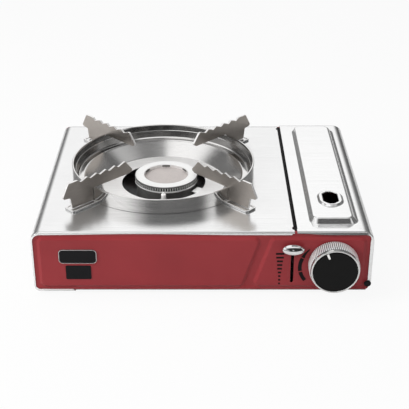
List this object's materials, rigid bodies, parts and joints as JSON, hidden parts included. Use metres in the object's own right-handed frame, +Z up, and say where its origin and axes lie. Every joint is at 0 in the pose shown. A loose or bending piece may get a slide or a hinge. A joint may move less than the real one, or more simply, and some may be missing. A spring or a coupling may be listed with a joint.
{
  "type": "cassette stove",
  "caption": "Portable butane cassette stove: steel body, hinged cartridge lid, knob, lever, lift-off ring with saw-toothed pan supports.",
  "frame": {"origin": "centre of the bounding box in plan, on the plane the feet stand on", "axes": "+Z up, -Y towards the front panel with the knob, +X towards the cartridge lid"},
  "size_m": [0.342, 0.2952, 0.1023],
  "materials": {
    "cover_steel": "fine brushed stainless sheet",
    "lid_steel": "fine brushed stainless sheet",
    "red_paint": "satin baked enamel",
    "zinc_sheet": "dull zinc-plated sheet",
    "plated_screw": "bright zinc",
    "foot_rubber": "matt moulded rubber",
    "badge_silver": "polished",
    "badge_black": "gloss",
    "die_cast": "die-cast",
    "brass": "machined",
    "copper": "drawn tube",
    "burner_casting": "dark enamelled casting",
    "burner_cap": "satin pressed steel",
    "burner_disc": "heat-tinted steel",
    "white_ceramic": "glazed",
    "lead_black": "matt sleeve",
    "clip_nylon": "nylon",
    "igniter_black": "moulded",
    "pin_black": "black oxide",
    "knob_chrome": "polished, knurled skirt",
    "knob_black": "satin black",
    "pointer_white": "white ink",
    "shaft_steel": "turned",
    "lever_chrome": "polished",
    "ring_steel": "satin stainless",
    "dish_steel": "satin stainless",
    "support_steel": "satin, heat-browned",
    "pad_steel": "satin stainless"
  },
  "bodies": {
    "stove_body": {"base_tray": "zinc_sheet", "feet": "foot_rubber", "foot_screws": "plated_screw", "front_panel": "red_paint", "rear_panel": "red_paint", "top_cover": "cover_steel", "cover_screws": "plated_screw", "rear_screws": "plated_screw", "badge_border": "badge_silver", "badge_plate": "badge_black", "notice_plate": "badge_black", "partition": "zinc_sheet", "cartridge_cradle": "zinc_sheet", "regulator_body": "die_cast", "diaphragm_cover": "plated_screw", "regulator_bracket": "zinc_sheet", "regulator_screws": "plated_screw", "gas_inlet": "brass", "inlet_seal": "foot_rubber", "valve_housing": "brass", "piezo_igniter": "igniter_black", "gas_tube": "copper", "nozzle": "brass", "mixing_tube": "zinc_sheet", "burner_body": "burner_casting", "burner_cap": "burner_cap", "burner_disc": "burner_disc", "burner_stand": "zinc_sheet", "burner_bracket": "zinc_sheet", "heat_shield": "zinc_sheet", "electrode_ceramic": "white_ceramic", "electrode_pin": "shaft_steel", "electrode_clamp": "zinc_sheet", "ignition_lead": "lead_black", "lead_clips": "clip_nylon", "hinge_pins": "pin_black", "lever_pivot": "shaft_steel", "guide_stud": "shaft_steel", "lid_buttons": "foot_rubber"},
    "lid": {"cartridge_lid": "lid_steel"},
    "knob": {"knob_skirt": "knob_chrome", "knob_face": "knob_black", "knob_pointer": "pointer_white", "knob_shaft": "shaft_steel"},
    "lever": {"lever_arm": "shaft_steel", "lever_knob": "lever_chrome", "drive_pin": "shaft_steel"},
    "hook": {"collar_hook": "zinc_sheet"},
    "pan": {"wind_ring": "ring_steel", "drip_dish": "dish_steel", "support_front_left": "support_steel", "support_front_right": "support_steel", "support_back_right": "support_steel", "support_back_left": "support_steel", "support_pads": "pad_steel"}
  },
  "joints": [
    {"name": "lid_hinge", "type": "hinge", "parent": "stove_body", "child": "lid", "pos_m": [0.1675, 0, 0.013], "axis": [0, 1, 0], "range_deg": [0, 90]},
    {"name": "knob_turn", "type": "hinge", "parent": "stove_body", "child": "knob", "pos_m": [0.1312, -0.1261, 0.0381], "axis": [0, -1, 0], "range_deg": [0, 120]},
    {"name": "lever_swing", "type": "hinge", "parent": "stove_body", "child": "lever", "pos_m": [0.0902, -0.0841, 0.0357], "axis": [1, 0, 0], "range_deg": [0, 44]},
    {"name": "hook_slide", "type": "slide", "parent": "stove_body", "child": "hook", "axis": [0, -1, 0], "range_m": [0, 0.00749]},
    {"name": "pan_lift", "type": "slide", "parent": "stove_body", "child": "pan", "axis": [0, 0, 1], "range_m": [0, 0.06]}
  ],
  "couplings": [
    {"joint": "hook_slide", "follows": "lever_swing", "m_per_rad": 0.0097561}
  ]
}
